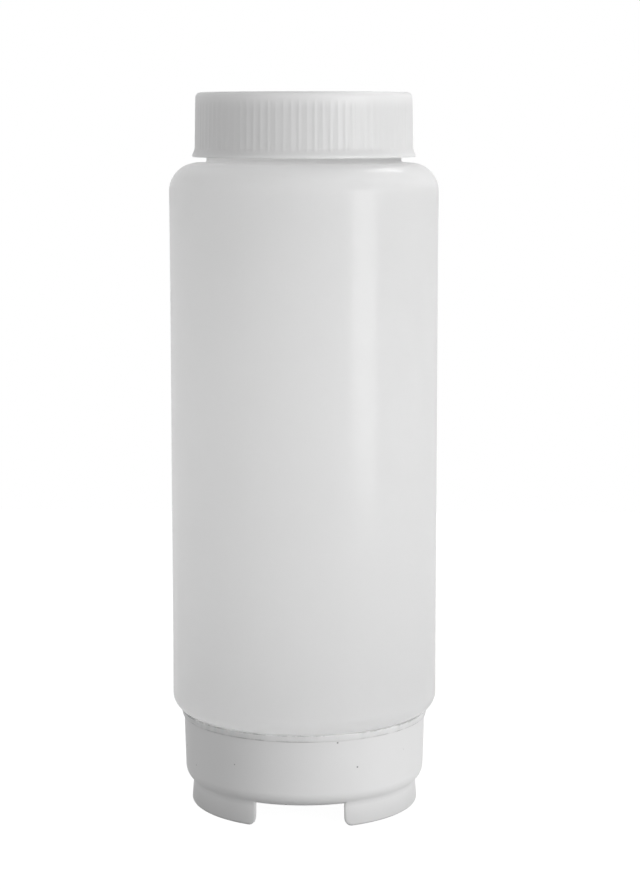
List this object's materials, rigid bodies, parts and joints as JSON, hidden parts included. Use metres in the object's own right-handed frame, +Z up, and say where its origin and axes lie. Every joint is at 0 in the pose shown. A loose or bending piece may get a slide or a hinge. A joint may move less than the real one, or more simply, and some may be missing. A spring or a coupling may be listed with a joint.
{
  "type": "condiment squeeze bottle",
  "caption": "Squeeze bottle for sauce that stands on its dispensing end, with a ribbed screw cap above and a slit valve under a hinged flip cover below.",
  "frame": {"origin": "on the rest plane under the bottle's axis, at the bottom of the feet", "axes": "+Z up along the bottle's axis, -Y to the front notch between the feet, +X to the right seen from the front"},
  "size_m": [0.0762, 0.0762, 0.204],
  "materials": {
    "bottle_ldpe": "translucent satin, blow moulded",
    "cap_pp": "satin, injection moulded with fine grip ribs",
    "base_pp": "satin, injection moulded",
    "liner_foam": "matt foam liner",
    "valve_silicone": "milky silicone rubber"
  },
  "bodies": {
    "base": {"dispensing_base": "base_pp", "dispensing_valve": "valve_silicone", "valve_retainer": "base_pp"},
    "base_liner": {"base_seal": "liner_foam"},
    "bottle": {"squeeze_bottle": "bottle_ldpe"},
    "cap_liner": {"refill_cap_seal": "liner_foam"},
    "cap": {"refill_cap": "cap_pp"},
    "cover": {"valve_cover": "base_pp"}
  },
  "joints": [
    {"name": "base_turn", "type": "hinge", "parent": "base", "child": "base_liner", "pos_m": [0, 0, 0], "axis": [0, 0, 1], "range_deg": [0, 684]},
    {"name": "base_lift", "type": "slide", "parent": "base_liner", "child": "bottle", "axis": [0, 0, 1], "range_m": [0, 0.0191]},
    {"name": "cap_lift", "type": "slide", "parent": "bottle", "child": "cap_liner", "axis": [0, 0, 1], "range_m": [0, 0.0166]},
    {"name": "cap_turn", "type": "hinge", "parent": "cap_liner", "child": "cap", "pos_m": [0, 0, 0], "axis": [0, 0, 1], "range_deg": [0, 594]},
    {"name": "cover_hinge", "type": "hinge", "parent": "base", "child": "cover", "pos_m": [0, 0.018, 0.0038], "axis": [1, 0, 0], "range_deg": [0, 120]}
  ],
  "couplings": [
    {"joint": "base_lift", "follows": "base_turn", "m_per_rad": 0.0015915},
    {"joint": "cap_lift", "follows": "cap_turn", "m_per_rad": 0.0015915}
  ]
}
